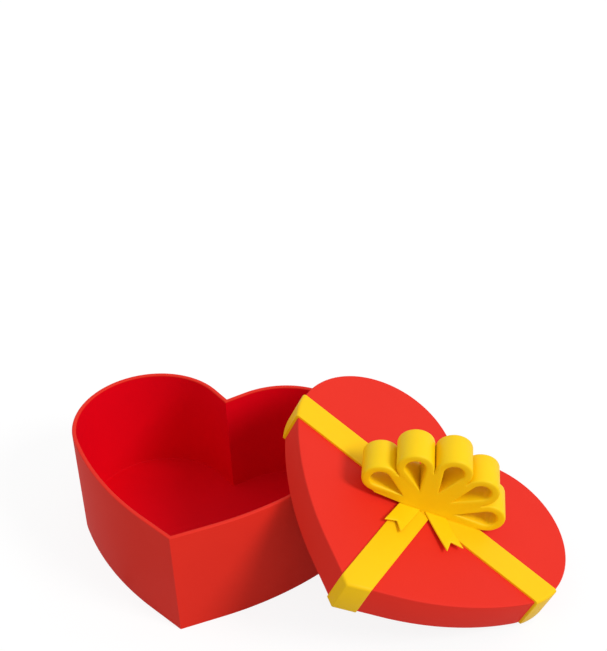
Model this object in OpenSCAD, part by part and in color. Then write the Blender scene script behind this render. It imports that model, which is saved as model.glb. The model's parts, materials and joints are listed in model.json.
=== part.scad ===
// A heart-shaped gift box of paper-covered board, open, with its ribboned lid leaning on its rim.
// Millimetres, Z up. The origin is the middle of the base's underside. The heart's cleft points
// along +Y and its tip along -Y, and "left" and "right" are the sides towards -X and +X.

/* [Heart outline] */
// Distance from the middle line to the middle of each round lobe
lobe_offset = 46; // [42:0.5:50]
// Radius of each round lobe
lobe_radius = 54; // [50:1:58]
// Radius of the long arc from each lobe towards the tip
side_radius = 220; // [190:5:250]
// Direction in which the lobe's arc ends and the long side arc starts
side_angle = -33; // [-38:1:-28]
// Length of the straight run from each lobe's arc into the cleft
cleft_run = 14; // [8:1:20]
// Length of the straight run from each side arc to the tip
tip_run = 29.6; // [20:0.4:40]

/* [Board and paper] */
// Thickness of the board of the walls, the floor and the lid
board = 2.3; // [1.5:0.1:3]
// Thickness of the paper that covers the board on both faces
paper = 0.25; // [0.2:0.05:0.4]
// Thickness of the pressed paper stays that join the walls at the tip and the cleft
stay_thickness = 0.5; // [0.3:0.1:0.8]
// How far each stay reaches to either side of the middle line
stay_reach = 12; // [8:1:20]

/* [Base] */
// Height of the base, from the table to the rim
base_height = 80; // [60:1:100]

/* [Lid] */
// Height of the lid's skirt, from its lower edge to the lid's top face
lid_height = 23.3; // [16:0.1:32]
// Gap all round between the closed lid and the base
lid_gap = 0.6; // [0.4:0.1:1.6]
// How far beyond the base's right side the leaning lid stands on the table
stand_right = 132.6; // [130:0.1:138]
// How far in front of the middle of the base the leaning lid stands on the table
stand_front = 11.1; // [6:0.1:16]
// Direction in which the lid leans, turned about the upright axis
lean_turn = -6.3; // [-8:0.1:-4]
// Turn of the lid in its own plane
lid_spin = -12.9; // [-16:0.1:-10]
// Clearance between the leaning lid's edge and the base's rim
rim_clearance = 0.3; // [0.2:0.1:0.8]

/* [Ribbon] */
// Width of the ribbon bands on the lid
band_width = 20; // [16:0.5:24]
// Thickness of the ribbon bands
band_thickness = 1.5; // [1:0.1:2]
// How far the bands cross from the line through the middles of the lobes, towards the tip
cross_shift = 17.4; // [14:0.2:22]
// How far the bands cross to the right of the lid's middle line
long_shift = 2; // [0:0.1:3]
// Turn of the crossed bands on the lid
band_turn = 1; // [-1:0.1:2]

/* [Bow] */
// Turn of the bow about the lid's upright, from facing the tip
bow_turn = 28.5; // [20:0.5:38]
// Distance from the bands' crossing to the bow's front, along the way it faces
bow_reach = 10.2; // [8:0.2:12]
// Width of the loops' ribbon, front to back
loop_width = 24; // [20:0.5:28]
// Thickness of the loops' ribbon
loop_thickness = 5.7; // [4:0.1:6.5]
// Turn from each loop to the next
loop_turn = 35; // [34:0.5:36]
// Turn of the lowest loop, on the right, up from the lid
low_loop_turn = 17.3; // [16:0.1:19]
// Distance from the bow's middle to the middle of each loop's round end
loop_reach = 41; // [38:0.5:46]
// Gap between the round ends of neighbouring loops
loop_gap = 0.4; // [0.2:0.1:1]
// How far short of the round ends the neighbouring loops stop being pressed together
loop_parting = 1; // [0.5:0.5:6]
// Distance from the bow's middle to the pointed end of the hole in each loop
loop_hole_start = 20.5; // [16:0.5:24]
// Width of the tails
tail_width = 13; // [11:0.2:16]
// Thickness of the tails
tail_thickness = 1.5; // [1:0.1:2]
// Length of the left tail's inner edge
left_tail_length = 28.5; // [24:0.5:34]
// Length of the right tail's inner edge
right_tail_length = 32.3; // [26:0.1:36]
// Depth of the notch in a tail's end
notch_depth = 6.3; // [4:0.1:8]
// Gap between the two tails where they start
tail_gap = 3.2; // [1:0.2:5]
// How far the tails start to the left of the bow's middle
tail_shift = 1.4; // [0:0.1:3]
// Turn of each tail away from straight ahead
tail_splay = 29; // [24:0.5:34]

/* [Hidden] */

// From the middle line to the widest point of a lobe
half_width = lobe_offset + lobe_radius;
// The full wall: paper, board, paper
wall = paper + board + paper;
// Outsets of the faces from the base's outer outline
base_board_out = -paper;
base_board_in = -paper - board;
base_in = -wall;
lid_out = lid_gap + wall;
lid_board_out = lid_out - paper;
lid_board_in = lid_out - paper - board;
lid_in = lid_gap;
band_out = lid_out + band_thickness;
// Heights in the lid's own frame, down from its top face
lid_board_top = -paper;
lid_board_under = -paper - board;
lid_under = -wall;
lid_edge = paper - lid_height;
// A length that reaches past everything, for the blocks that trim a shape
overrun = 2 * (half_width + band_out);

fine = 180;
// How deep arcs and straight runs that follow on from each other are sunk into each other
sink = 0.01;
// How far each side arc goes on under the straight run to the tip
side_overlap = 1.5;

// The heart's outline, made of a straight run at the cleft, a lobe arc, a side arc and a straight
// run to the tip. Every function takes an outset, so that parallel outlines stay parallel.
function polar(radius, angle) = [radius * cos(angle), radius * sin(angle)];
function to_middle(p, angle) = [0, p[1] + p[0] * cos(angle) / sin(angle)];
// Direction in which an arc ends, so that the straight run from there meets the middle line
function arc_end(centre_x, radius, run) = acos(-centre_x / norm([radius, run])) - atan2(run, radius);
side_x = lobe_offset + polar(lobe_radius - side_radius, side_angle)[0];
cleft_angle = arc_end(lobe_offset, lobe_radius, cleft_run);
tip_angle = -arc_end(side_x, side_radius, tip_run);
tip_drop = -to_middle([lobe_offset, 0] + polar(lobe_radius - side_radius, side_angle)
    + polar(side_radius, tip_angle), tip_angle)[1];
lobe_y = (tip_drop - lobe_radius) / 2;
lobe_centre = [lobe_offset, lobe_y];
side_centre = lobe_centre + polar(lobe_radius - side_radius, side_angle);
function lobe_point(outset, angle) = lobe_centre + polar(lobe_radius + outset, angle);
function side_point(outset, angle) = side_centre + polar(side_radius + outset, angle);
function cleft_point(outset) = to_middle(lobe_point(outset, cleft_angle), cleft_angle);
function tip_point(outset) = to_middle(side_point(outset, tip_angle), tip_angle);
// An inner point of the side, on the radius that ends its arc
side_root = side_centre + polar(side_radius - lobe_radius / 2, tip_angle - side_overlap);

module right_of_middle() {
    translate([0, -overrun]) square([overrun, 2 * overrun]);
}

// The right half. Each piece is sunk a little into the one that it runs on from, so that they
// cross cleanly.
module half_heart(outset) {
    intersection() {
        translate(lobe_centre) circle(lobe_radius + outset, $fn = fine);
        right_of_middle();
    }
    intersection() {
        translate(side_centre) circle(side_radius + outset - sink, $fn = fine);
        polygon([lobe_centre, side_root,
            side_point(overrun, tip_angle - side_overlap), side_point(overrun, side_angle)]);
    }
    polygon([lobe_centre, lobe_point(outset - sink, cleft_angle), cleft_point(outset - sink),
        tip_point(outset - 2 * sink), side_point(outset - 2 * sink, tip_angle)]);
}

module heart(outset) {
    half_heart(outset);
    mirror([1, 0]) half_heart(outset);
}

// Half of the band between two outlines: side is 1 for the right half and -1 for the left half
module half_ring(side, outer, inner) {
    mirror([side < 0 ? 1 : 0, 0]) difference() {
        half_heart(outer);
        heart(inner);
    }
}

module slab(low, high) {
    translate([0, 0, low]) linear_extrude(high - low) children();
}

// Stays are let into the inner face of the walls, end is -1 at the tip and 1 at the cleft
module stay(end, inner, low, high) {
    slab(low, high) intersection() {
        difference() {
            heart(inner + stay_thickness);
            heart(inner);
        }
        translate([-stay_reach, end < 0 ? -overrun : 0]) square([2 * stay_reach, overrun]);
    }
}

module wall_half(side, outer, inner, low, high, stay_low) {
    difference() {
        slab(low, high) half_ring(side, outer, inner);
        for (end = [-1, 1]) stay(end, inner, stay_low, high);
    }
}

// The lean. The lid stands on the lowest point of its right lobe and leans back until the lower
// edge of its skirt lies on the rim of the base. The tilt is found by halving an interval.
lid_low_point = lobe_centre + polar(lobe_radius + lid_out, -lid_spin);
stand_point = [half_width + stand_right, -stand_front];

// Height of a point of the skirt's lower edge above the table, and its place in plan
function turned(p, angle) = polar(p[0], angle) + polar(p[1], angle + 90);
function edge_height(p, tilt) = -turned(p - lid_low_point, lid_spin)[0] * sin(tilt);
function edge_plan(p, tilt) = let (q = turned(p - lid_low_point, lid_spin))
    stand_point + turned([q[0] * cos(tilt), q[1]], lean_turn);

// Distance of a point in plan from the base's outer outline, positive outside
function way(p) = atan2(p[1], p[0]);
function outline_gap(p) = let (
    from_side = [abs(p[0]), p[1]] - side_centre,
    from_lobe = [abs(p[0]), p[1]] - lobe_centre)
    way(from_side) < tip_angle ? from_side * polar(1, tip_angle) - side_radius
    : way(from_side) < side_angle ? norm(from_side) - side_radius
    : way(from_lobe) < cleft_angle ? norm(from_lobe) - lobe_radius
    : from_lobe * polar(1, cleft_angle) - lobe_radius;

// Points along both faces of the skirt, at equal steps of angle
edge_angle_step = 0.5;
edge_lobe_points = [for (outset = [lid_in, lid_out])
    for (angle = [side_angle : edge_angle_step : cleft_angle]) lobe_point(outset, angle)];
edge_side_points = [for (outset = [lid_in, lid_out])
    for (angle = [tip_angle : edge_angle_step / 2 : side_angle]) side_point(outset, angle)];
edge_right = concat(edge_lobe_points, edge_side_points);
edge_points = concat(edge_right, [for (p = edge_right) [-p[0], p[1]]]);
function lowest_over_rim(tilt) = min([for (p = edge_points)
    let (gap = outline_gap(edge_plan(p, tilt)))
    if (gap > -wall && gap < 0) edge_height(p, tilt)]);
least_tilt_angle = 10;
most_tilt_angle = 60;
halving_count = 14;
function tilt_between(low, high, halvings) = let (middle = (low + high) / 2)
    halvings < 1 ? middle
    : lowest_over_rim(middle) < base_height + rim_clearance
        ? tilt_between(middle, high, halvings - 1)
    : tilt_between(low, middle, halvings - 1);
lid_tilt = tilt_between(least_tilt_angle, most_tilt_angle, halving_count);

// Puts what is made in the lid's own frame, top face up at height zero, where the lid leans
module on_lid() {
    translate([stand_point[0], stand_point[1], 0])
        rotate([0, lid_tilt, lean_turn])
        rotate([0, 0, lid_spin])
        translate([-lid_low_point[0], -lid_low_point[1], lid_height])
        children();
}

module base_floor_board() {
    color("firebrick") slab(0, board) heart(base_board_in);
}

module base_floor_lining() {
    color("crimson") slab(board, board + paper) heart(base_in);
}

module base_wall(side) {
    color("firebrick")
        wall_half(side, base_board_out, base_board_in, 0, base_height - paper, board);
}

module base_stay(end) {
    color("indianred") stay(end, base_board_in, board, base_height - paper);
}

module base_lining(side) {
    color("crimson") slab(board, base_height - paper) half_ring(side, base_board_in, base_in);
}

// The outer paper, turned over the rim onto the lining
module base_wrap(side) {
    color("red") {
        slab(0, base_height - paper) half_ring(side, 0, base_board_out);
        slab(base_height - paper, base_height) half_ring(side, 0, base_in);
    }
}

module lid_top_board() {
    color("firebrick") on_lid() slab(lid_board_under, lid_board_top) heart(lid_board_out);
}

module lid_top_lining() {
    color("crimson") on_lid() slab(lid_under, lid_board_under) heart(lid_board_in);
}

module lid_top_cover() {
    color("red") on_lid() slab(lid_board_top, 0) heart(lid_out);
}

module lid_skirt(side) {
    color("firebrick") on_lid()
        wall_half(side, lid_board_out, lid_board_in, lid_edge, lid_board_under, lid_edge);
}

module lid_stay(end) {
    color("indianred") on_lid() stay(end, lid_board_in, lid_edge, lid_board_under);
}

module lid_lining(side) {
    color("crimson") on_lid() slab(lid_edge, lid_under) half_ring(side, lid_board_in, lid_in);
}

// The outer paper, turned under the skirt's edge onto the lining
module lid_wrap(side) {
    color("red") on_lid() {
        slab(lid_edge, lid_board_top) half_ring(side, lid_out, lid_board_out);
        slab(-lid_height, lid_edge) half_ring(side, lid_out, lid_in);
    }
}

// A band is the part of a thin cap over the lid that lies within the plan drawn by its children
module band() {
    slab(0, band_thickness) intersection() {
        heart(band_out);
        children();
    }
    slab(-lid_height, 0) intersection() {
        difference() {
            heart(band_out);
            heart(lid_out);
        }
        children();
    }
}

band_cross = [long_shift, lobe_y - cross_shift];

// A rectangle in plan in the frame of the crossed bands, from one corner to the other
module patch(low, high) {
    translate(band_cross) rotate(band_turn) translate(low) square(high - low);
}

module ribbon_cross() {
    color("gold") on_lid() band()
        patch([-overrun, -band_width / 2], [overrun, band_width / 2]);
}

module ribbon_long_tip() {
    color("gold") on_lid() band()
        patch([-band_width / 2, -overrun], [band_width / 2, -band_width / 2]);
}

module ribbon_long_cleft() {
    color("gold") on_lid() band()
        patch([-band_width / 2, band_width / 2], [band_width / 2, overrun]);
}

// Puts what is made in the bow's frame, with its front at y = 0, facing -Y, and its underside at
// z = 0, on the bands' crossing
module on_bow() {
    on_lid()
        translate([band_cross[0], band_cross[1], band_thickness])
        rotate([0, 0, bow_turn])
        translate([0, -bow_reach, 0])
        children();
}

loop_count = 5;
// Outer radius of each loop's round end
loop_radius = loop_reach * sin(loop_turn / 2) - loop_gap / 2;
// Height of the middle of the bow over its underside, so that the lowest loop lies on the bands
bow_middle = loop_radius - sink - loop_reach * sin(low_loop_turn);

// A loop lies along +X: straight runs from its pointed start to its round end
function tangent_point(start, radius) = let (to_end = [loop_reach, 0] - start)
    start + polar(sqrt(to_end * to_end - radius * radius),
        way(to_end) + asin(radius / norm(to_end)));

module loop_blank() {
    joined = polar(loop_reach * cos(loop_turn / 2) - loop_parting, loop_turn / 2);
    end = tangent_point(joined, loop_radius - sink);
    polygon([[0, 0], [joined[0], -joined[1]], [end[0], -end[1]], [loop_reach, 0], end, joined]);
    translate([loop_reach, 0]) circle(loop_radius, $fn = fine);
}

module loop_hole() {
    start = [loop_hole_start, 0];
    end = tangent_point(start, loop_radius - loop_thickness - sink);
    polygon([start, [end[0], -end[1]], [loop_reach, 0], end]);
    translate([loop_reach, 0]) circle(loop_radius - loop_thickness, $fn = fine);
}

module loop_section() {
    difference() {
        loop_blank();
        loop_hole();
    }
}

module bow_loop(number) {
    turn = low_loop_turn + loop_turn * (loop_count - number);
    color("orange") on_bow() translate([0, loop_width, 0]) rotate([90, 0, 0])
        linear_extrude(loop_width) intersection() {
            translate([0, bow_middle]) rotate(turn) loop_section();
            translate([-overrun, 0]) square([2 * overrun, overrun]);
        }
}

module bow_tail(side, length) {
    ahead = [sin(tail_splay), -cos(tail_splay)];
    across = [cos(tail_splay), sin(tail_splay)];
    root = [tail_gap / 2, 0];
    color("yellow") on_bow() slab(0, tail_thickness) translate([-tail_shift, 0])
        mirror([side < 0 ? 1 : 0, 0]) polygon([
            root,
            root + length * ahead,
            root + (length - notch_depth) * ahead + tail_width / 2 * across,
            root + length * ahead + tail_width * across,
            root + [tail_width / cos(tail_splay), 0]]);
}

base_floor_board();
base_floor_lining();
base_wall(-1);  // base_wall_left
base_wall(1);  // base_wall_right
base_stay(-1);  // base_tip_stay
base_stay(1);  // base_cleft_stay
base_lining(-1);  // base_lining_left
base_lining(1);  // base_lining_right
base_wrap(-1);  // base_wrap_left
base_wrap(1);  // base_wrap_right
lid_top_board();
lid_top_lining();
lid_top_cover();
lid_skirt(-1);  // lid_skirt_left
lid_skirt(1);  // lid_skirt_right
lid_stay(-1);  // lid_tip_stay
lid_stay(1);  // lid_cleft_stay
lid_lining(-1);  // lid_lining_left
lid_lining(1);  // lid_lining_right
lid_wrap(-1);  // lid_wrap_left
lid_wrap(1);  // lid_wrap_right
ribbon_cross();
ribbon_long_tip();
ribbon_long_cleft();
bow_loop(1);  // bow_loop_1
bow_loop(2);  // bow_loop_2
bow_loop(3);  // bow_loop_3
bow_loop(4);  // bow_loop_4
bow_loop(5);  // bow_loop_5
bow_tail(-1, left_tail_length);  // bow_tail_left
bow_tail(1, right_tail_length);  // bow_tail_right
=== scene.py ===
"""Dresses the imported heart-shaped gift box: paper covers, lining, ribbon bands, bow, light and camera."""

import json
from math import acos, asin, atan2, cos, hypot, pi, radians, sin, sqrt, tan
from types import SimpleNamespace

import bmesh
import bpy
from bmesh.types import BMEdge, BMFace, BMVert
from bpy.props import FloatProperty, FloatVectorProperty, IntProperty, PointerProperty
from mathutils import Matrix, Vector


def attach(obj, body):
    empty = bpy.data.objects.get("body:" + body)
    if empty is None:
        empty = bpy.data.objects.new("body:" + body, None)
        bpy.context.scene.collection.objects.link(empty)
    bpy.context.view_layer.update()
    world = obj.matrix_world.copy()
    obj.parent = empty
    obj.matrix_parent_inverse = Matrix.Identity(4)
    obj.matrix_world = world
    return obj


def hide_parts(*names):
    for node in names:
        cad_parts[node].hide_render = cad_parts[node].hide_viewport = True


bl_info = {
    "name": "Heart gift box",
    "version": (1, 0, 0),
    "blender": (4, 5, 0),
    "location": "View3D > Sidebar > Gift box",
    "description": "Builds the covers, ribbon and bow of a heart-shaped gift box around its packed model",
    "category": "Object",
}

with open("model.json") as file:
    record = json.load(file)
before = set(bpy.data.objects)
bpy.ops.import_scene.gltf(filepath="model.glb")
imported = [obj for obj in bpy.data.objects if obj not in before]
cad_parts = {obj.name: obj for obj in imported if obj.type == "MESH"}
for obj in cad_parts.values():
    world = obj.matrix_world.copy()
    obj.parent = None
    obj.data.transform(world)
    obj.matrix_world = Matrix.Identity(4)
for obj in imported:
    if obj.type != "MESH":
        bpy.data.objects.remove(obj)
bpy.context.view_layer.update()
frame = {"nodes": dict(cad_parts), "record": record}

MM = 0.001
TOUCHING = 1e-6

# Steps in which round stretches are drawn
LOBE_STEPS = 82
SIDE_STEPS = 24
FOLD_STEPS = 5
LOOP_STEPS = 40
TAIL_STEPS = 10
SOFT_STEPS = 3

# Edges that turn more sharply than this are shaded as corners, or are rounded
SHADED_CORNER = radians(38)
RIBBON_CORNER = radians(50)
LOOP_CORNER = radians(60)

# Directions in a section
OUTWARDS = 0
UPWARDS = pi / 2
DOWNWARDS = -pi / 2

# A colour Mix shares its sockets' names with the other kinds of Mix, so they go by number
MIX_FIRST, MIX_SECOND, MIX_RESULT = 6, 7, 2

# Radians that a wave texture turns in a metre at a scale of one
WAVE_TURN = 20

# Depth of a paper's grain and a ribbon's threads, and how far either way they vary the roughness
RELIEF_DEPTH = 0.05 * MM
ROUGHNESS_SPREAD = 0.04

RIBBON_PLACE = "ribbon_place"


def linear(hex_colour):
    """An sRGB hex colour as linear red, green and blue, by the standard's formula."""
    found = []
    for start in (1, 3, 5):
        level = int(hex_colour[start : start + 2], 16) / 255
        found.append(level / 12.92 if level <= 0.04045 else ((level + 0.055) / 1.055) ** 2.4)
    return tuple(found)


def length(name, description, millimetres):
    """A size that the user can change."""
    return FloatProperty(name=name, description=description, default=millimetres * MM, unit="LENGTH")


def turn(name, description, degrees_turned):
    """A direction that the user can change."""
    return FloatProperty(
        name=name, description=description, default=radians(degrees_turned), unit="ROTATION"
    )


def strength(name, description, value):
    """A strength of light, or a share of it, that the user can change."""
    return FloatProperty(name=name, description=description, default=value, min=0)


def colour(name, description, hex_colour):
    """A colour that the user can change."""
    return FloatVectorProperty(
        name=name,
        description=description,
        default=linear(hex_colour),
        subtype="COLOR",
        min=0,
        max=1,
    )


class GIFTBOX_PG_box(bpy.types.PropertyGroup):
    """Sizes of the heart, the boards and the papers, as in the part's source, and of soft edges."""

    lobe_offset: length("Lobe offset", "Middle line to the middle of each round lobe", 46)
    lobe_radius: length("Lobe radius", "Radius of each round lobe", 54)
    side_radius: length("Side radius", "Radius of the long arc to the tip", 220)
    side_angle: turn("Side angle", "Where the lobe's arc ends and the side arc starts", -33)
    cleft_run: length("Cleft run", "Straight run into the cleft", 14)
    tip_run: length("Tip run", "Straight run to the tip", 29.6)
    base_height: length("Base height", "Table to rim", 80)
    board: length("Board", "Thickness of the board", 2.3)
    paper: length("Paper", "Thickness of the covering and lining papers", 0.25)
    lid_height: length("Lid height", "Lower edge of the skirt to the lid's top", 23.3)
    lid_gap: length("Lid gap", "Gap between the closed lid and the base", 0.6)
    edge_round: length("Edge rounding", "How softly the paper turns over an edge of the board", 0.8)
    turn_in: length("Turn-in", "How far the cover goes down inside the rim", 1)
    cove: length("Cove", "Radius of the lining where the wall meets the floor", 0.4)


class GIFTBOX_PG_lid(bpy.types.PropertyGroup):
    """Where the lid leans: the middle of its top face and its three turns."""

    place: FloatVectorProperty(
        name="Place",
        description="Middle of the lid's top face",
        default=(0.144465, -0.019012, 0.069395),
        unit="LENGTH",
    )
    lean: turn("Lean", "Direction in which the lid leans", -6.3)
    tilt: turn("Tilt", "How far the lid is tilted", 26.5543)
    spin: turn("Spin", "Turn of the lid in its own plane", -12.9)


class GIFTBOX_PG_ribbon(bpy.types.PropertyGroup):
    """Sizes of the bands, the loops and the tails."""

    band_width: length("Band width", "Width of the bands", 20)
    band_thickness: length("Band thickness", "Thickness of the bands", 1.5)
    cross_shift: length("Cross shift", "Bands' crossing, from the lobes' middles to the tip", 17.4)
    long_shift: length("Long shift", "Bands' crossing, to the right of the middle line", 2)
    band_turn: turn("Band turn", "Turn of the crossed bands on the lid", 1)
    cross_cut: length("Cross band's cut", "Length of ribbon in the band across the lid", 252)
    tip_cut: length("Tip band's cut", "Length of ribbon from the crossing down at the tip", 111)
    cleft_cut: length("Cleft band's cut", "Length of ribbon from the crossing down at the cleft", 81)
    bow_turn: turn("Bow turn", "Turn of the bow about the lid's upright", 28.5)
    bow_reach: length("Bow reach", "Crossing to the front of the bow", 10.2)
    loop_width: length("Loop width", "Width of the loops' ribbon", 24)
    loop_thickness: length("Loop thickness", "Thickness of the loops' ribbon", 5.7)
    loop_turn: turn("Loop turn", "Turn from each loop to the next", 35)
    low_loop_turn: turn("Low loop turn", "Turn of the lowest loop, up from the lid", 17.3)
    loop_reach: length("Loop reach", "Bow's middle to the middle of a round end", 41)
    loop_gap: length("Loop gap", "Gap between neighbouring round ends", 0.4)
    loop_parting: length("Loop parting", "How far short of the round ends the loops part", 1)
    loop_hole_start: length("Hole start", "Bow's middle to the pointed end of each hole", 20.5)
    loop_edge: length("Loop edge", "Rounding of the loops' edges", 1.4)
    loop_cut: length("Loop's cut", "Length of ribbon in a loop", 97)
    tail_width: length("Tail width", "Width of the tails", 13)
    tail_thickness: length("Tail thickness", "Thickness of the tails", 1.5)
    left_tail: length("Left tail", "Length of the left tail's inner edge", 28.5)
    right_tail: length("Right tail", "Length of the right tail's inner edge", 32.3)
    notch_depth: length("Notch", "Depth of the notch in a tail's end", 6.3)
    tail_gap: length("Tail gap", "Gap between the tails where they start", 3.2)
    tail_shift: length("Tail shift", "How far the tails start to the left", 1.4)
    tail_splay: turn("Tail splay", "Turn of each tail away from straight ahead", 29)
    tail_lift: length("Tail lift", "How far a tail's end curls up", 1.8)
    ribbon_edge: length("Ribbon edge", "Rounding of the bands' and tails' edges", 0.6)
    loops: IntProperty(name="Loops", description="How many loops the bow has", default=5, min=1)


class GIFTBOX_PG_looks(bpy.types.PropertyGroup):
    """Colours of the papers and the ribbons, the light and the floor."""

    cover: colour("Cover paper", "Coated red paper outside", "#E22207")
    cover_shade: colour("Cover paper, darker", "The same paper where it took more ink", "#DE1E05")
    lining: colour("Lining paper", "Red paper inside", "#E20018")
    lining_shade: colour("Lining paper, darker", "The same paper where it took more ink", "#DE0016")
    band: colour("Band ribbon", "Yellow satin of the bands", "#FAC70C")
    bow: colour("Bow ribbon", "Yellow satin of the bow", "#FBCE02")
    board: colour("Greyboard", "Unbleached board", "#B4A894")
    stay: colour("Stay paper", "Pressed paper that joins the walls", "#B06058")
    key: strength("Key light", "Strength of the key light", 1.6)
    key_side: turn("Key side", "Direction of the key light, right of the front", 72)
    key_rise: turn("Key rise", "Height of the key light over the table", 38)
    key_size: turn("Key size", "How wide the key light looks from the box", 18)
    fill: strength("Fill light", "Strength of the soft light all round", 0.71)
    floor_reach: length("Floor", "Middle of the floor to its edges", 3000)
    floor_grey: strength("Floor grey", "Share of the light that the floor throws on the box", 0.42)
    floor_white: strength("Floor white", "The same share where the background shows", 0.9)
    floor_glow: strength("Floor glow", "Strength of the white that evens out the floor", 1.03)
    glow_share: strength("Glow share", "Share of that white where the background shows", 0.85)


# The heart's outline


def polar(radius, angle):
    return Vector((radius * cos(angle), radius * sin(angle), 0))


def heart_arcs(box):
    """The middles of the lobe and side arcs and the directions in which they end."""

    def arc_end(centre_x, radius, run):
        return acos(-centre_x / hypot(radius, run)) - atan2(run, radius)

    lobe_x = box.lobe_offset
    to_side = polar(box.lobe_radius - box.side_radius, box.side_angle)
    cleft_angle = arc_end(lobe_x, box.lobe_radius, box.cleft_run)
    tip_angle = -arc_end(lobe_x + to_side.x, box.side_radius, box.tip_run)
    last = Vector((lobe_x, 0, 0)) + to_side + polar(box.side_radius, tip_angle)
    tip_drop = -(last.y + last.x * cos(tip_angle) / sin(tip_angle))
    lobe = Vector((lobe_x, (tip_drop - box.lobe_radius) / 2, 0))
    return SimpleNamespace(
        lobe=lobe,
        side=lobe + to_side,
        lobe_radius=box.lobe_radius,
        side_radius=box.side_radius,
        cleft_angle=cleft_angle,
        side_angle=box.side_angle,
        tip_angle=tip_angle,
    )


def outward(arcs, place):
    """How a point of an outline moves, in plan, for each metre that the outline grows."""
    if abs(place.x) < TOUCHING:
        angle = arcs.tip_angle if place.y < 0 else arcs.cleft_angle
        return Vector((0, 1 / sin(angle), 0))
    right = Vector((abs(place.x), place.y, 0))
    from_side, from_lobe = right - arcs.side, right - arcs.lobe
    on_side = atan2(from_side.y, from_side.x) < arcs.side_angle
    way = (from_side if on_side else from_lobe).normalized()
    if place.x < 0:
        way.x = -way.x
    return way


# Mesh steps that several pieces share


def only(parts, kind):
    """The vertices, edges or faces among what an operator made."""
    return [part for part in parts if isinstance(part, kind)]


def mirror(bm, axis):
    """Adds the mirrored half and joins the two in the middle."""
    bmesh.ops.mirror(
        bm,
        geom=bm.verts[:] + bm.edges[:],
        matrix=Matrix.Identity(4),
        merge_dist=TOUCHING,
        axis=axis,
    )


def heart_ring(bm, arcs, outset, height):
    """A closed run of edges along the heart's outline, grown by the outset."""
    up = Vector((0, 0, height))

    def to_middle(centre, radius, angle):
        end = centre + polar(radius + outset, angle)
        return bm.verts.new(Vector((0, end.y + end.x * cos(angle) / sin(angle), height)))

    def run(vert, centre, angle, steps):
        made = bmesh.ops.spin(
            bm, geom=[vert], cent=centre + up, axis=(0, 0, 1), angle=angle, steps=steps
        )
        return only(made["geom_last"], BMVert)[0]

    start = bm.verts.new(arcs.side + polar(arcs.side_radius + outset, arcs.tip_angle) + up)
    bm.edges.new((to_middle(arcs.side, arcs.side_radius, arcs.tip_angle), start))
    middle = run(start, arcs.side, arcs.side_angle - arcs.tip_angle, SIDE_STEPS)
    end = run(middle, arcs.lobe, arcs.cleft_angle - arcs.side_angle, LOBE_STEPS)
    bm.edges.new((end, to_middle(arcs.lobe, arcs.lobe_radius, arcs.cleft_angle)))
    mirror(bm, "X")
    return bm.edges[:]


def quarter(out, height, radius, start, swing=pi / 2):
    """Points of a quarter circle round a point of a section, from one direction on."""
    angles = [start + swing * step / FOLD_STEPS for step in range(FOLD_STEPS + 1)]
    return [(out + radius * cos(angle), height + radius * sin(angle)) for angle in angles]


def sweep(bm, edges, arcs, section):
    """Carries a ring of edges through the points of a section, each an outset and a height."""
    for (out, low), (next_out, high) in zip(section, section[1:]):
        made = bmesh.ops.extrude_edge_only(bm, edges=edges)["geom"]
        edges = only(made, BMEdge)
        for vert in only(made, BMVert):
            vert.co += outward(arcs, vert.co) * (next_out - out) + Vector((0, 0, high - low))
    return edges


def cap(bm, edges, border):
    """Fills a ring with one flat face and a narrow border, which keeps its shading flat."""
    made = bmesh.ops.edgeloop_fill(bm, edges=edges)["faces"]
    bmesh.ops.inset_region(bm, faces=made, thickness=border, use_even_offset=True)


def thicken(bm, faces, way):
    """Draws flat faces out into a block."""
    made = bmesh.ops.extrude_face_region(bm, geom=faces)["geom"]
    bmesh.ops.translate(bm, vec=way, verts=only(made, BMVert))
    bmesh.ops.recalc_face_normals(bm, faces=bm.faces[:])


def cut(bm, place, away, clear=False):
    """Cuts the mesh along a plane, clears what lies beyond it if asked, and gives the cut's edges."""
    made = bmesh.ops.bisect_plane(
        bm,
        geom=bm.verts[:] + bm.edges[:] + bm.faces[:],
        dist=TOUCHING,
        plane_co=place,
        plane_no=away,
        clear_outer=clear,
    )
    return only(made["geom_cut"], BMEdge)


def corners(bm, least_angle):
    return [
        edge
        for edge in bm.edges
        if len(edge.link_faces) == 2 and edge.calc_face_angle() > least_angle
    ]


def soften(bm, edges, offset):
    bmesh.ops.bevel(
        bm,
        geom=edges,
        offset=offset,
        offset_type="OFFSET",
        segments=SOFT_STEPS,
        profile=0.5,
        affect="EDGES",
        material=-1,
        clamp_overlap=True,
    )


def mark_ribbon(bm, across, along):
    """Keeps each point's distance across and along the ribbon, for the threads."""
    layer = bm.verts.layers.float_vector.new(RIBBON_PLACE)
    for vert in bm.verts:
        vert[layer] = (across(vert.co), along(vert.co), 0)


def finish(bm, name, place, slot, body, *nodes):
    """Makes a piece from its mesh, sets it in place on its body and hides the parts that it stands in for.
    """
    bmesh.ops.remove_doubles(bm, verts=bm.verts[:], dist=TOUCHING)
    bmesh.ops.transform(bm, matrix=place, verts=bm.verts[:])
    bmesh.ops.recalc_face_normals(bm, faces=bm.faces[:])
    mesh = bpy.data.meshes.new(name)
    bm.to_mesh(mesh)
    bm.free()
    mesh.shade_smooth()
    mesh.set_sharp_from_angle(angle=SHADED_CORNER)
    piece = bpy.data.objects.new(name, mesh)
    bpy.context.scene.collection.objects.link(piece)
    mesh.materials.append(bpy.data.materials[slot])
    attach(piece, body)
    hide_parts(*nodes)
    return piece


# Where things lie


def wall_thickness(box):
    return box.board + 2 * box.paper


def lid_place(lid):
    """The lid's own frame: the middle of its top face, top face up, tip towards -Y."""
    return (
        Matrix.Translation(lid.place)
        @ Matrix.Rotation(lid.lean, 4, "Z")
        @ Matrix.Rotation(lid.tilt, 4, "Y")
        @ Matrix.Rotation(lid.spin, 4, "Z")
    )


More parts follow.
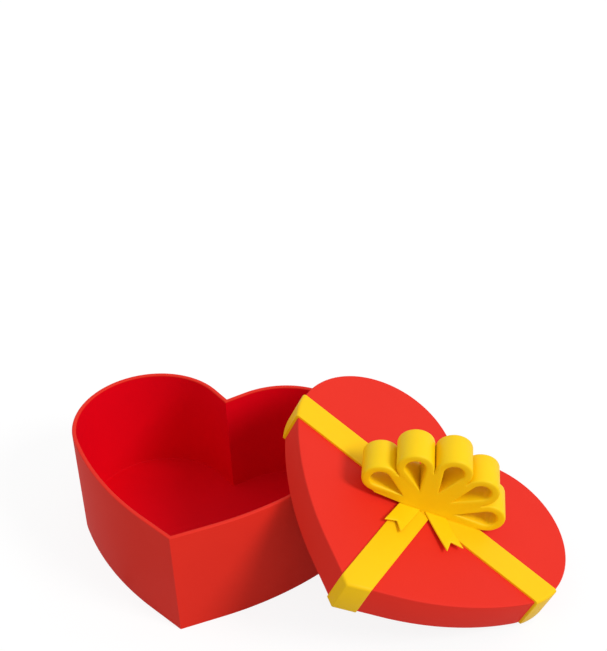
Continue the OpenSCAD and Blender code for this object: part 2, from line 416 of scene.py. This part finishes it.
def crossing(box, ribbon, height):
    """Where the middles of the bands cross, at a height over the lid's top face."""
    return Matrix.Translation(
        (ribbon.long_shift, heart_arcs(box).lobe.y - ribbon.cross_shift, height)
    )


def bow_place(scene):
    """The bow's frame: its front at y = 0 facing -Y and its underside at z = 0."""
    ribbon = scene.giftbox_ribbon
    return (
        lid_place(scene.giftbox_lid)
        @ crossing(scene.giftbox_box, ribbon, ribbon.band_thickness)
        @ Matrix.Rotation(ribbon.bow_turn, 4, "Z")
        @ Matrix.Translation((0, -ribbon.bow_reach, 0))
    )


# Materials


def add_node(tree, kind, place, settings=None, links=None):
    """Adds a node with its settings, and its inputs as values or as sockets to link."""
    node = tree.nodes.new(kind)
    node.location = place
    for name, value in (settings or {}).items():
        setattr(node, name, value)
    for name, value in (links or {}).items():
        if isinstance(value, bpy.types.NodeSocket):
            tree.links.new(value, node.inputs[name])
        else:
            node.inputs[name].default_value = value
    return node


def new_material(name):
    """An empty material: a slot's own one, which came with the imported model, or a new one."""
    material = bpy.data.materials.get(name) or bpy.data.materials.new(name)
    material.use_nodes = True
    material.node_tree.nodes.clear()
    return material


def per_metre(millimetres):
    """A texture's scale for a pattern of that size."""
    return 1 / (millimetres * MM)


def darker(tint, share):
    return [level * share for level in tint]


def paper(name, light, dark, roughness, gloss, grain_mm, cloud_mm, relief):
    """Paper, with ink in faint clouds and a fine grain."""
    tree = new_material(name).node_tree
    place = add_node(tree, "ShaderNodeTexCoord", (-1000, 0)).outputs["Object"]
    cloud = add_node(
        tree,
        "ShaderNodeTexNoise",
        (-800, 200),
        links={"Vector": place, "Scale": per_metre(cloud_mm), "Detail": 4.0, "Roughness": 0.6},
    )
    # Fibres are 0.03 mm thick, too fine to show, so the grain is drawn about 1 mm wide
    grain = add_node(
        tree,
        "ShaderNodeTexNoise",
        (-800, -200),
        links={"Vector": place, "Scale": per_metre(grain_mm), "Detail": 3.0, "Roughness": 0.7},
    )
    ink = add_node(
        tree,
        "ShaderNodeMix",
        (-500, 200),
        {"data_type": "RGBA"},
        {"Factor": cloud.outputs["Fac"], MIX_FIRST: (*light, 1), MIX_SECOND: (*dark, 1)},
    )
    rough = add_node(
        tree,
        "ShaderNodeMapRange",
        (-500, 0),
        links={
            "Value": grain.outputs["Fac"],
            "To Min": roughness - ROUGHNESS_SPREAD,
            "To Max": roughness + ROUGHNESS_SPREAD,
        },
    )
    bumps = add_node(
        tree,
        "ShaderNodeBump",
        (-500, -300),
        links={"Strength": relief, "Distance": RELIEF_DEPTH, "Height": grain.outputs["Fac"]},
    )
    shader = add_node(
        tree,
        "ShaderNodeBsdfPrincipled",
        (-200, 0),
        links={
            "Base Color": ink.outputs[MIX_RESULT],
            "Roughness": rough.outputs["Result"],
            "IOR": 1.4,
            "Specular IOR Level": gloss,
            "Normal": bumps.outputs["Normal"],
        },
    )
    add_node(
        tree,
        "ShaderNodeOutputMaterial",
        (100, 0),
        links={"Surface": shader.outputs["BSDF"]},
    )


def satin(name, tint, roughness, gloss, sheen, thread_mm, cloud_mm, relief):
    """Woven satin: threads along the ribbon, smoother on their crowns than between them."""
    tree = new_material(name).node_tree
    place = add_node(
        tree, "ShaderNodeAttribute", (-1200, 0), {"attribute_name": RIBBON_PLACE}
    ).outputs["Vector"]
    threads = add_node(
        tree,
        "ShaderNodeTexWave",
        (-900, 100),
        {"wave_type": "BANDS", "bands_direction": "X", "wave_profile": "SIN"},
        {
            "Vector": place,
            "Scale": 2 * pi / WAVE_TURN * per_metre(thread_mm),
            "Distortion": 0.6,
            "Detail": 1.0,
        },
    )
    cloud = add_node(
        tree,
        "ShaderNodeTexNoise",
        (-900, -200),
        links={"Vector": place, "Scale": per_metre(cloud_mm), "Detail": 3.0},
    )
    dye = add_node(
        tree,
        "ShaderNodeMix",
        (-600, 100),
        {"data_type": "RGBA"},
        {
            "Factor": cloud.outputs["Fac"],
            MIX_FIRST: (*tint, 1),
            MIX_SECOND: (*darker(tint, share=0.95), 1),
        },
    )
    rough = add_node(
        tree,
        "ShaderNodeMapRange",
        (-600, -100),
        links={
            "Value": threads.outputs["Fac"],
            "To Min": roughness + ROUGHNESS_SPREAD,
            "To Max": roughness - ROUGHNESS_SPREAD,
        },
    )
    bumps = add_node(
        tree,
        "ShaderNodeBump",
        (-600, -300),
        links={"Strength": relief, "Distance": RELIEF_DEPTH, "Height": threads.outputs["Fac"]},
    )
    shader = add_node(
        tree,
        "ShaderNodeBsdfPrincipled",
        (-300, 0),
        links={
            "Base Color": dye.outputs[MIX_RESULT],
            "Roughness": rough.outputs["Result"],
            "IOR": 1.35,
            "Specular IOR Level": gloss,
            "Sheen Weight": sheen,
            "Sheen Roughness": 0.5,
            "Sheen Tint": (*tint, 1),
            "Normal": bumps.outputs["Normal"],
        },
    )
    add_node(
        tree,
        "ShaderNodeOutputMaterial",
        (0, 0),
        links={"Surface": shader.outputs["BSDF"]},
    )


def background_rays(tree):
    """One for rays that show the background: the camera's, mirrored ones and those through glass."""
    kind = add_node(tree, "ShaderNodeLightPath", (-1500, 0))
    found = kind.outputs["Is Camera Ray"]
    for step, name in enumerate(("Is Glossy Ray", "Is Transmission Ray")):
        found = add_node(
            tree,
            "ShaderNodeMath",
            (-1300 + 200 * step, 0),
            {"operation": "MAXIMUM"},
            {0: found, 1: kind.outputs[name]},
        ).outputs[0]
    return found


# Floor, light and camera


def lay_floor(scene):
    """A painted board: dull, and whiter where the background shows, with a faint shadow left."""
    looks = scene.giftbox_looks
    bm = bmesh.new()
    bmesh.ops.create_grid(bm, x_segments=1, y_segments=1, size=looks.floor_reach)
    mesh = bpy.data.meshes.new("floor")
    bm.to_mesh(mesh)
    bm.free()
    floor = bpy.data.objects.new("floor", mesh)
    scene.collection.objects.link(floor)
    material = new_material("white_floor")
    tree = material.node_tree
    seen = background_rays(tree)
    grey = add_node(
        tree,
        "ShaderNodeMapRange",
        (-800, -200),
        links={"Value": seen, "To Min": looks.floor_grey, "To Max": looks.floor_white},
    )
    dull = add_node(
        tree,
        "ShaderNodeBsdfPrincipled",
        (-400, 0),
        links={"Base Color": grey.outputs["Result"], "Roughness": 0.9},
    )
    white = add_node(
        tree, "ShaderNodeEmission", (-400, -400), links={"Strength": looks.floor_glow}
    )
    share = add_node(
        tree,
        "ShaderNodeMath",
        (-600, 200),
        {"operation": "MULTIPLY"},
        {0: seen, 1: looks.glow_share},
    )
    both = add_node(
        tree,
        "ShaderNodeMixShader",
        (-100, 0),
        links={0: share.outputs[0], 1: dull.outputs["BSDF"], 2: white.outputs["Emission"]},
    )
    add_node(tree, "ShaderNodeOutputMaterial", (100, 0), links={"Surface": both.outputs[0]})
    mesh.materials.append(material)


def light_studio(scene):
    """A fill light from all round, white where the background shows, and a key light."""
    looks = scene.giftbox_looks
    world = bpy.data.worlds.new("studio")
    world.use_nodes = True
    tree = world.node_tree
    tree.nodes.clear()
    light = add_node(
        tree,
        "ShaderNodeMapRange",
        (-300, 0),
        links={"Value": background_rays(tree), "To Min": looks.fill, "To Max": 1.0},
    )
    sky = add_node(
        tree,
        "ShaderNodeBackground",
        (-100, 0),
        links={"Color": (1, 1, 1, 1), "Strength": light.outputs["Result"]},
    )
    add_node(tree, "ShaderNodeOutputWorld", (100, 0), links={"Surface": sky.outputs[0]})
    scene.world = world

    sun = bpy.data.lights.new("key", "SUN")
    sun.energy = looks.key
    sun.angle = looks.key_size
    lamp = bpy.data.objects.new("key", sun)
    scene.collection.objects.link(lamp)
    # A sun shines along its own -Z
    lamp.rotation_euler = (pi / 2 - looks.key_rise, 0, looks.key_side)


def place_camera(scene):
    """The photograph's camera, found from the outlines of the box.

    Its shift is half of the one that fits best, so that the box stays in view from other sides.
    """
    # In the photograph's pixels: its size, the lens, and the point straight ahead of the camera
    width, height = 607, 651
    focal = 1641.423
    ahead = (336.26, 263.05)
    elevation, azimuth, roll = radians(33.7084), radians(-13.0714), radians(-2.7273)
    # The middle between the lobes, and how far right, down and forward of the unrolled camera it is
    target = Vector((0, heart_arcs(scene.giftbox_box).lobe.y, 0))
    seen = Vector((-87.998, 174.742, 1165.193)) * MM

    forward = Vector(
        (sin(azimuth) * cos(elevation), cos(azimuth) * cos(elevation), -sin(elevation))
    )
    right = Vector((cos(azimuth), -sin(azimuth), 0))
    down = forward.cross(right)
    place = target - (right * seen.x + down * seen.y + forward * seen.z)
    turned_right = right * cos(roll) - down * sin(roll)
    turned_down = right * sin(roll) + down * cos(roll)
    camera = bpy.data.cameras.new("camera")
    # The sensor's width spans the photograph's longer side
    camera.lens = focal * camera.sensor_width / height
    camera.shift_x = (width / 2 - ahead[0]) / height
    camera.shift_y = (ahead[1] - height / 2) / height
    viewer = bpy.data.objects.new("camera", camera)
    scene.collection.objects.link(viewer)
    axes = Matrix((turned_right, -turned_down, -forward)).transposed()
    viewer.matrix_world = Matrix.Translation(place) @ axes.to_4x4()
    scene.camera = viewer


# Operators


class GIFTBOX_OT_materials(bpy.types.Operator):
    """Makes the papers, boards and ribbons and gives the boards and linings theirs"""

    bl_idname = "giftbox.materials"
    bl_label = "Papers and ribbons"

    def execute(self, context):
        looks = context.scene.giftbox_looks
        # Coated art paper: an even red, which a soft gloss greys at a glancing angle
        paper(
            "cover_paper",
            looks.cover,
            looks.cover_shade,
            roughness=0.68,
            gloss=0.5,
            grain_mm=0.9,
            cloud_mm=30,
            relief=0.12,
        )
        # Uncoated printed paper: a cooler red with hardly any gloss
        paper(
            "lining_paper",
            looks.lining,
            looks.lining_shade,
            roughness=0.6,
            gloss=0.12,
            grain_mm=1.1,
            cloud_mm=26,
            relief=0.12,
        )
        # Greyboard, pressed from waste paper: flecked and dull
        paper(
            "box_board",
            looks.board,
            darker(looks.board, share=0.8),
            roughness=0.85,
            gloss=0.3,
            grain_mm=1.5,
            cloud_mm=3,
            relief=0.4,
        )
        # Pressed paper stays: smooth, dyed pale red
        paper(
            "stay_paper",
            looks.stay,
            darker(looks.stay, share=0.85),
            roughness=0.7,
            gloss=0.3,
            grain_mm=1.2,
            cloud_mm=6,
            relief=0.2,
        )
        # Woven satin: a soft gloss, with threads 0.15 mm apart, drawn 0.6 mm apart so that they show
        satin(
            "ribbon_satin",
            looks.band,
            roughness=0.5,
            gloss=0.25,
            sheen=0.0,
            thread_mm=0.6,
            cloud_mm=9,
            relief=0.15,
        )
        # The bow's satin: the same weave, with more gloss and a sheen at glancing angles
        satin(
            "bow_satin",
            looks.bow,
            roughness=0.5,
            gloss=0.4,
            sheen=0.3,
            thread_mm=0.6,
            cloud_mm=9,
            relief=0.15,
        )
        for part in frame["record"]["subparts"]:
            node = frame["nodes"][part["node"]]
            node.data.materials.clear()
            node.data.materials.append(bpy.data.materials[part["material_slot"]])
        return {"FINISHED"}


class GIFTBOX_OT_base(bpy.types.Operator):
    """Covers the base's walls and lines them, with soft edges and a cove at the floor"""

    bl_idname = "giftbox.base"
    bl_label = "Base cover and lining"

    def execute(self, context):
        box = context.scene.giftbox_box
        arcs = heart_arcs(box)
        wall, sheet, top = wall_thickness(box), box.paper, box.base_height
        soft, cove, turned_to = box.edge_round, box.cove, top - box.turn_in

        bm = bmesh.new()
        section = [
            (0, 0),
            *quarter(-soft, top - soft, soft, OUTWARDS),
            *quarter(soft - wall, top - soft, soft, UPWARDS),
            (-wall, turned_to),
            (sheet - wall, turned_to),
            (sheet - wall, top - sheet),
            (-sheet, top - sheet),
            (-sheet, 0),
            (0, 0),
        ]
        sweep(bm, heart_ring(bm, arcs, *section[0]), arcs, section)
        finish(
            bm,
            "base_cover",
            Matrix.Identity(4),
            "cover_paper",
            "base",
            "base_wrap_left",
            "base_wrap_right",
        )

        bm = bmesh.new()
        floor = box.board
        section = [
            (sheet - wall, turned_to),
            (-wall, turned_to),
            *quarter(-wall - cove, floor + sheet + cove, cove, OUTWARDS, swing=-pi / 2),
            (-wall - cove, floor),
            (sheet - wall, floor),
            (sheet - wall, turned_to),
        ]
        sweep(bm, heart_ring(bm, arcs, *section[0]), arcs, section)
        finish(
            bm,
            "base_wall_lining",
            Matrix.Identity(4),
            "lining_paper",
            "base",
            "base_lining_left",
            "base_lining_right",
        )
        return {"FINISHED"}


class GIFTBOX_OT_lid(bpy.types.Operator):
    """Covers the lid: its top face, its skirt and the turn under the skirt's edge"""

    bl_idname = "giftbox.lid"
    bl_label = "Lid cover"

    def execute(self, context):
        box = context.scene.giftbox_box
        arcs = heart_arcs(box)
        inside, sheet, low = box.lid_gap, box.paper, -box.lid_height
        out, soft = inside + wall_thickness(box), box.edge_round
        # The paper is pulled more tightly round the skirt's lower edge
        tight = soft / 2

        bm = bmesh.new()
        start = (out - sheet, low + sheet)
        ring = heart_ring(bm, arcs, *start)
        cap(bm, sweep(bm, ring, arcs, [start, (out - sheet, -sheet)]), sheet)
        section = [
            start,
            (inside, low + sheet),
            (inside, low),
            *quarter(out - tight, low + tight, tight, DOWNWARDS),
            *quarter(out - soft, -soft, soft, OUTWARDS),
        ]
        cap(bm, sweep(bm, ring, arcs, section), sheet)
        finish(
            bm,
            "lid_cover",
            lid_place(context.scene.giftbox_lid),
            "cover_paper",
            "lid",
            "lid_top_cover",
            "lid_wrap_left",
            "lid_wrap_right",
        )
        return {"FINISHED"}


def band_shell(bm, box, ribbon):
    """A thick cap over the whole lid, from which the bands are cut."""
    arcs = heart_arcs(box)
    out, low, soft = box.lid_gap + wall_thickness(box), -box.lid_height, box.edge_round
    thick = ribbon.band_thickness
    ring = heart_ring(bm, arcs, out, low)
    inner = [(out, low), *quarter(out - soft, -soft, soft, OUTWARDS)]
    outer = [(out, low), (out + thick, low), *quarter(out - soft, -soft, soft + thick, OUTWARDS)]
    for section in (inner, outer):
        cap(bm, sweep(bm, ring, arcs, section), box.paper)
    bmesh.ops.recalc_face_normals(bm, faces=bm.faces[:])


class GIFTBOX_OT_bands(bpy.types.Operator):
    """Lays the ribbon bands over the lid and down its skirt"""

    bl_idname = "giftbox.bands"
    bl_label = "Ribbon bands"

    def execute(self, context):
        scene = context.scene
        box, ribbon = scene.giftbox_box, scene.giftbox_ribbon
        half = ribbon.band_width / 2
        patch = crossing(box, ribbon, 0) @ Matrix.Rotation(ribbon.band_turn, 4, "Z")
        right, back = Vector((1, 0, 0)), Vector((0, 1, 0))
        # Each band's name, node, cut length, its ways along and across, and the ways in which it
        # ends at the edge of the band that it meets
        bands = (
            ("cross_band", "ribbon_cross", ribbon.cross_cut, right, back, ()),
            ("long_band_tip", "ribbon_long_tip", ribbon.tip_cut, back, right, (back,)),
            ("long_band_cleft", "ribbon_long_cleft", ribbon.cleft_cut, back, right, (-back,)),
        )
        for name, node, cut_length, along, across, ends in bands:
            bm = bmesh.new()
            band_shell(bm, box, ribbon)
            bmesh.ops.transform(bm, matrix=patch.inverted(), verts=bm.verts[:])
            sides = [(-across, half), (across, half)]
            for away, distance in sides + [(end, -half) for end in ends]:
                edges = cut(bm, away * distance, away, clear=True)
                bmesh.ops.edgeloop_fill(bm, edges=edges)
            soften(bm, corners(bm, RIBBON_CORNER), ribbon.ribbon_edge)
            mark_ribbon(bm, across.dot, lambda co: along.dot(co) + abs(min(co.z, 0)))
            band = finish(
                bm, name, lid_place(scene.giftbox_lid) @ patch, "ribbon_satin", "lid", node
            )
        return {"FINISHED"}


def half_pear(bm, bends, reach, radius):
    """The upper half of a pear outline: straight runs through the bends and on to a round end."""
    to_end = Vector((reach, 0)) - bends[-1]
    angle = atan2(to_end.y, to_end.x) + asin(radius / to_end.length)
    run = sqrt(to_end.length_squared - radius**2)
    touch = bends[-1] + Vector((run * cos(angle), run * sin(angle)))
    verts = [bm.verts.new((bend.x, 0, bend.y)) for bend in (*bends, touch)]
    for pair in zip(verts, verts[1:]):
        bm.edges.new(pair)
    bmesh.ops.spin(
        bm,
        geom=[verts[-1]],
        cent=(reach, 0, 0),
        axis=(0, 1, 0),
        angle=atan2(touch.y, touch.x - reach),
        steps=LOOP_STEPS,
    )


def fold_loop(bm, ribbon, radius):
    """A loop along +X with its front at y = 0, its hole, and its rims rounded where they are free."""
    reach, half_turn = ribbon.loop_reach, ribbon.loop_turn / 2
    joined = reach * cos(half_turn) - ribbon.loop_parting
    hole = Vector((ribbon.loop_hole_start, 0))
    parting = Vector((joined * cos(half_turn), joined * sin(half_turn)))
    half_pear(bm, [Vector((0, 0)), parting], reach, radius)
    half_pear(bm, [hole], reach, radius - ribbon.loop_thickness)
    mirror(bm, "Z")
    made = bmesh.ops.triangle_fill(bm, edges=bm.edges[:], use_beauty=True)["geom"]
    thicken(bm, only(made, BMFace), (0, ribbon.loop_width, 0))

    # An edge is pressed against a neighbour along this share of the loop's side, and this near it
    pressed_share, pressed_turn = 0.98, radians(1)

    def free_rim(edge):
        a, b = edge.verts
        if abs(a.co.y - b.co.y) > TOUCHING or edge.calc_face_angle() < LOOP_CORNER:
            return False
        middle = (a.co + b.co) / 2
        off_side = abs(abs(atan2(middle.z, middle.x)) - half_turn)
        return hypot(middle.x, middle.z) >= joined * pressed_share or off_side >= pressed_turn

    soften(bm, [edge for edge in bm.edges if free_rim(edge)], ribbon.loop_edge)


class GIFTBOX_OT_loops(bpy.types.Operator):
    """Folds the five loops of the bow, pressed together in the middle"""

    bl_idname = "giftbox.loops"
    bl_label = "Bow loops"

    def execute(self, context):
        scene = context.scene
        ribbon = scene.giftbox_ribbon
        reach = ribbon.loop_reach
        radius = reach * sin(ribbon.loop_turn / 2) - ribbon.loop_gap / 2
        middle = Matrix.Translation((0, 0, radius - reach * sin(ribbon.low_loop_turn)))
        for number in range(1, ribbon.loops + 1):
            bm = bmesh.new()
            fold_loop(bm, ribbon, radius)
            mark_ribbon(
                bm,
                lambda co: co.y - ribbon.loop_width / 2,
                lambda co: co.x if co.z > 0 else 2 * reach - co.x,
            )
            turned = ribbon.low_loop_turn + ribbon.loop_turn * (ribbon.loops - number)
            place = bow_place(scene) @ middle @ Matrix.Rotation(-turned, 4, "Y")
            loop = finish(bm, f"loop_{number}", place, "bow_satin", "lid", f"bow_loop_{number}")
        return {"FINISHED"}


class GIFTBOX_OT_tails(bpy.types.Operator):
    """Cuts the two tails with swallow ends and lays them in front of the bow"""

    bl_idname = "giftbox.tails"
    bl_label = "Bow tails"

    def execute(self, context):
        scene = context.scene
        ribbon = scene.giftbox_ribbon
        splay, width = ribbon.tail_splay, ribbon.tail_width
        ahead = Vector((sin(splay), -cos(splay), 0))
        across = Vector((cos(splay), sin(splay), 0))
        root = Vector((ribbon.tail_gap / 2, 0, 0))
        start = bow_place(scene) @ Matrix.Translation((-ribbon.tail_shift, 0, 0))

        def along(co):
            return (co - root).dot(ahead)

        for name, node, side, reach in (
            ("tail_left", "bow_tail_left", -1, ribbon.left_tail),
            ("tail_right", "bow_tail_right", 1, ribbon.right_tail),
        ):
            bm = bmesh.new()
            outline = [
                root,
                root + ahead * reach,
                root + ahead * (reach - ribbon.notch_depth) + across * width / 2,
                root + ahead * reach + across * width,
                root + Vector((width / cos(splay), 0, 0)),
            ]
            face = bm.faces.new([bm.verts.new(point) for point in outline])
            thicken(bm, [face], (0, 0, ribbon.tail_thickness))
            soften(bm, corners(bm, RIBBON_CORNER), ribbon.ribbon_edge)
            for step in range(1, TAIL_STEPS):
                cut(bm, root + ahead * reach * step / TAIL_STEPS, ahead)
            mark_ribbon(bm, lambda co: (co - root).dot(across) - width / 2, along)
            for vert in bm.verts:
                vert.co.z += ribbon.tail_lift * max(0, along(vert.co) / reach) ** 2
            # The left tail leans the other way
            place = start @ Matrix.Diagonal((side, 1, 1, 1))
            tail = finish(bm, name, place, "bow_satin", "lid", node)
            width * (reach - (width * tan(splay) + ribbon.notch_depth) / 2)
        return {"FINISHED"}


class GIFTBOX_OT_stage(bpy.types.Operator):
    """Sets up the floor, the light and the camera of a studio photograph"""

    bl_idname = "giftbox.stage"
    bl_label = "Floor, light and camera"

    def execute(self, context):
        scene = context.scene
        scene.view_settings.view_transform = "Standard"
        lay_floor(scene)
        light_studio(scene)
        place_camera(scene)
        return {"FINISHED"}


class GIFTBOX_PT_panel(bpy.types.Panel):
    """Lists the pieces of the gift box"""

    bl_idname = "GIFTBOX_PT_panel"
    bl_label = "Heart gift box"
    bl_space_type = "VIEW_3D"
    bl_region_type = "UI"
    bl_category = "Gift box"

    def draw(self, context):
        for operator in OPERATORS:
            self.layout.operator(operator.bl_idname)


GROUPS = {
    "giftbox_box": GIFTBOX_PG_box,
    "giftbox_lid": GIFTBOX_PG_lid,
    "giftbox_ribbon": GIFTBOX_PG_ribbon,
    "giftbox_looks": GIFTBOX_PG_looks,
}
OPERATORS = (
    GIFTBOX_OT_materials,
    GIFTBOX_OT_base,
    GIFTBOX_OT_lid,
    GIFTBOX_OT_bands,
    GIFTBOX_OT_loops,
    GIFTBOX_OT_tails,
    GIFTBOX_OT_stage,
)
CLASSES = (*GROUPS.values(), *OPERATORS, GIFTBOX_PT_panel)


def register():
    for kind in CLASSES:
        bpy.utils.register_class(kind)
    for name, group in GROUPS.items():
        setattr(bpy.types.Scene, name, PointerProperty(type=group))


def unregister():
    for name in GROUPS:
        delattr(bpy.types.Scene, name)
    for kind in reversed(CLASSES):
        bpy.utils.unregister_class(kind)


def main():
    register()
    bpy.ops.giftbox.materials()
    bpy.ops.giftbox.base()
    bpy.ops.giftbox.lid()
    bpy.ops.giftbox.bands()
    bpy.ops.giftbox.loops()
    bpy.ops.giftbox.tails()
    bpy.ops.giftbox.stage()


if __name__ == "__main__":
    main()
